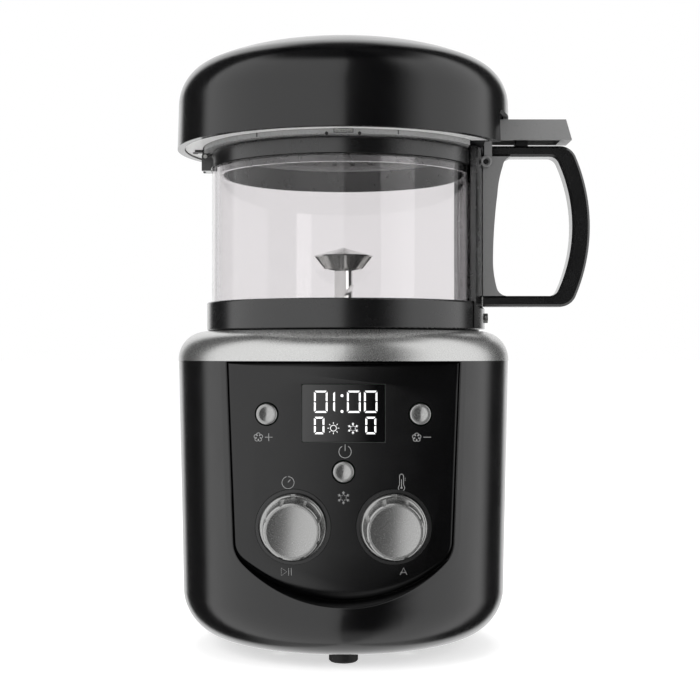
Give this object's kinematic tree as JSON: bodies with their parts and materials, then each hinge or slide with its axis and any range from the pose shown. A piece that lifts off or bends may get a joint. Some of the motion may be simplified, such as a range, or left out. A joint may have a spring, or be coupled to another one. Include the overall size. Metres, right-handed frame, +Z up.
{
  "type": "home coffee bean roaster",
  "caption": "Countertop hot-air coffee roaster: round black base with control panel and knobs, glass roasting chamber with side handle, hinged domed lid.",
  "frame": {"origin": "on the roaster's axis, in the plane that its feet stand on", "axes": "+Z up, the control panel faces -Y, the handle points to +X"},
  "size_m": [0.2252, 0.1812, 0.3232],
  "materials": {
    "black_shell": "glossy black ABS",
    "black_collar": "glossy black PBT",
    "black_inner": "moulded black nylon",
    "silver_ring": "satin silver lacquer",
    "silver_controls": "satin silver-grey lacquer",
    "grey_trim": "satin mid grey",
    "lid_under": "pale heat-proof plastic",
    "window": "smoked acrylic",
    "glass": "clear borosilicate",
    "rubber": "black silicone",
    "steel": "plain steel",
    "polished_steel": "polished stainless steel",
    "heater_mica": "mica sheet",
    "heater_ribbon": "resistance ribbon",
    "motors": "zinc-plated cans",
    "boards": "circuit boards and parts",
    "fan": "moulded black nylon"
  },
  "bodies": {
    "base": {"base_shell": "black_shell", "base_plate": "black_inner", "rubber_feet": "rubber", "base_screws": "steel", "shoulder_ring": "silver_ring", "chamber_well": "black_inner", "seat_gasket": "rubber", "control_panel": "black_shell", "display_window": "window", "display_module": "boards", "control_board": "boards", "tact_switches": "boards", "knob_bezels": "black_inner", "encoders": "boards", "blower_housing": "black_inner", "air_duct": "black_inner", "fan_motor": "motors", "heater_can": "steel", "heater_frame": "heater_mica", "heater_coil": "heater_ribbon", "thermal_cutoff": "steel", "gear_motor": "motors", "power_board": "boards", "cable_gland": "black_inner"},
    "fan_wheel": {"impeller": "fan", "motor_shaft": "steel"},
    "drive": {"drive_shaft": "steel", "drive_dog": "black_inner"},
    "fan_up": {"fan_up_button": "silver_controls"},
    "fan_down": {"fan_down_button": "silver_controls"},
    "power": {"power_button": "silver_controls"},
    "timer_push": {"timer_spindle": "steel"},
    "timer_dial": {"timer_knob": "silver_controls"},
    "heat_push": {"heat_spindle": "steel"},
    "heat_dial": {"heat_knob": "silver_controls"},
    "chamber": {"chamber_collar": "black_collar", "glass_tube": "glass", "lower_seal": "rubber", "upper_seal": "rubber", "top_ring": "black_collar", "chamber_floor": "polished_steel", "stirrer_bush": "black_inner", "handle_spine": "black_collar", "handle_web": "grey_trim", "handle_grip": "black_collar", "handle_screws": "steel", "lever_pin": "steel", "lever_buffer": "black_inner", "lid_clip": "black_collar", "hinge_pin": "steel"},
    "stirrer": {"stirrer_hub": "polished_steel", "stirrer_blade": "polished_steel"},
    "lever": {"thumb_lever": "grey_trim"},
    "lid": {"lid_dome": "black_shell", "lid_underplate": "lid_under", "filter_ring": "grey_trim", "chaff_filter": "polished_steel", "filter_clip": "steel", "slot_liner": "black_inner", "lid_knuckle": "black_inner"}
  },
  "joints": [
    {"name": "chamber_lift", "type": "slide", "parent": "base", "child": "chamber", "axis": [0, 0, 1], "range_m": [0, 0.07]},
    {"name": "lid_hinge", "type": "hinge", "parent": "chamber", "child": "lid", "pos_m": [-0.0754, 0, 0.2654], "axis": [0, -1, 0], "range_deg": [0, 80]},
    {"name": "lever_press", "type": "hinge", "parent": "chamber", "child": "lever", "pos_m": [0.0773, 0, 0.262], "axis": [0, 1, 0], "range_deg": [0, 3], "stiffness_Nm_per_rad": 1.2, "springref_deg": -2.86},
    {"name": "stirrer_spin", "type": "hinge", "parent": "chamber", "child": "stirrer", "pos_m": [0, 0, 0.18], "axis": [0, 0, 1], "continuous": true},
    {"name": "drive_spin", "type": "hinge", "parent": "base", "child": "drive", "pos_m": [0, 0, 0.12], "axis": [0, 0, 1], "continuous": true},
    {"name": "fan_spin", "type": "hinge", "parent": "base", "child": "fan_wheel", "pos_m": [0, 0, 0.03], "axis": [0, 0, 1], "continuous": true},
    {"name": "fan_up_press", "type": "slide", "parent": "base", "child": "fan_up", "axis": [0, 1, 0], "range_m": [0, 0.001], "stiffness_N_per_m": 900},
    {"name": "fan_down_press", "type": "slide", "parent": "base", "child": "fan_down", "axis": [0, 1, 0], "range_m": [0, 0.001], "stiffness_N_per_m": 900},
    {"name": "power_press", "type": "slide", "parent": "base", "child": "power", "axis": [0, 1, 0], "range_m": [0, 0.001], "stiffness_N_per_m": 900},
    {"name": "timer_press", "type": "slide", "parent": "base", "child": "timer_push", "axis": [0, 1, 0], "range_m": [0, 0.001], "stiffness_N_per_m": 900},
    {"name": "timer_turn", "type": "hinge", "parent": "timer_push", "child": "timer_dial", "pos_m": [-0.0253, -0.07, 0.0708], "axis": [0, -1, 0], "continuous": true},
    {"name": "heat_press", "type": "slide", "parent": "base", "child": "heat_push", "axis": [0, 1, 0], "range_m": [0, 0.001], "stiffness_N_per_m": 900},
    {"name": "heat_turn", "type": "hinge", "parent": "heat_push", "child": "heat_dial", "pos_m": [0.0253, -0.07, 0.0708], "axis": [0, -1, 0], "continuous": true}
  ],
  "couplings": [
    {"joint": "drive_spin", "follows": "stirrer_spin", "ratio": 1}
  ]
}
